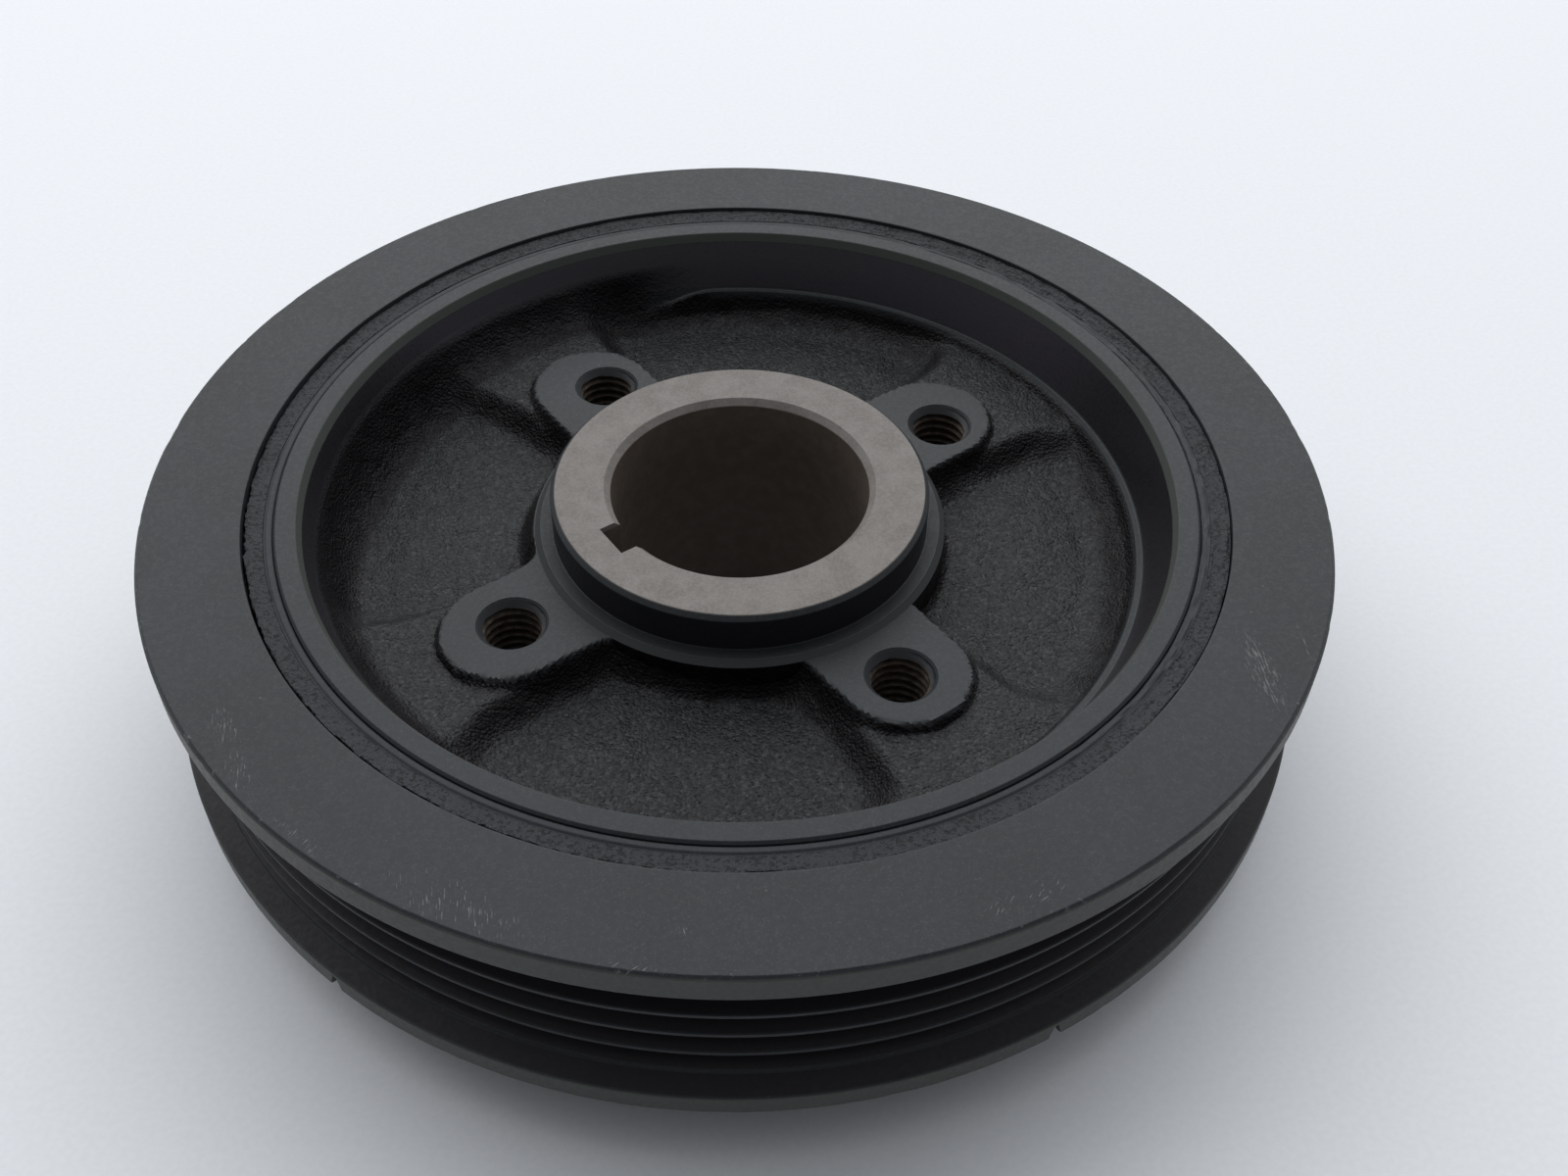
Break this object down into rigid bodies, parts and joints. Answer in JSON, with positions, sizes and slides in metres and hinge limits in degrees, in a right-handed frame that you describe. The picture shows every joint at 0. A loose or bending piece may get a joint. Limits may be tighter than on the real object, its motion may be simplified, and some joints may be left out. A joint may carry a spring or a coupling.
{
  "type": "harmonic balancer",
  "caption": "Crankshaft damper pulley: iron belt ring with poly-V grooves and timing notches on a bonded rubber ring round a dished hub with threaded ears and a keyed bore.",
  "frame": {"origin": "on the crank axis, in the plane of the hub's rear end, which it stands on", "axes": "+Z along the crank axis towards the bolt side; the keyway points to 214.3 degrees from +X"},
  "size_m": [0.1424, 0.1424, 0.036],
  "materials": {
    "belt_ring": "machined cast iron under thin satin dark grey paint",
    "rubber_ring": "bonded rubber with paint overspray, matt and pitted",
    "hub": "cast iron under dark grey paint, rough cast pockets, nose face and bore left bare"
  },
  "bodies": {
    "root": {"belt_ring": "belt_ring", "rubber_ring": "rubber_ring", "hub": "hub"}
  },
  "joints": []
}
